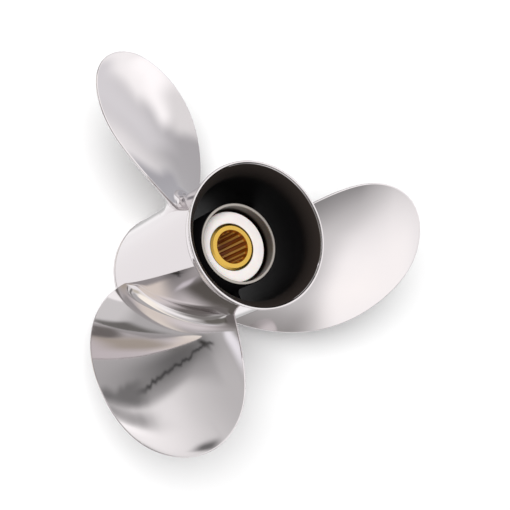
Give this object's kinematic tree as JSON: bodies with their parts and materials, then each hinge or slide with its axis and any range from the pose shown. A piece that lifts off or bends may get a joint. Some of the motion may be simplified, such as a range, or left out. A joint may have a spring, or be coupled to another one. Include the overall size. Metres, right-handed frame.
{
  "type": "ship propeller",
  "caption": "Three-blade outboard boat propeller of polished stainless steel, with an exhaust barrel, flared mouth, inner hub, nylon cushion and splined brass drive sleeve.",
  "frame": {"origin": "centre of the plane of the barrel's front rim, on the shaft axis, on the level floor that the propeller stands on", "axes": "+Z along the shaft axis and up, pointing aft from the gearcase side towards the flared mouth; +Y towards the tip of blade_1"},
  "size_m": [0.2992, 0.2758, 0.151],
  "materials": {
    "polished_steel": "polished",
    "machined_steel": "satin",
    "black_paint": "satin",
    "white_nylon": "satin",
    "brass": "satin"
  },
  "bodies": {
    "root": {"outer_barrel": "polished_steel", "diffuser_ring": "polished_steel", "blade_1": "polished_steel", "blade_2": "polished_steel", "blade_3": "polished_steel", "rib_1": "black_paint", "rib_2": "black_paint", "rib_3": "black_paint", "inner_hub": "machined_steel", "cushion_sleeve": "white_nylon", "drive_sleeve": "brass"}
  },
  "joints": []
}
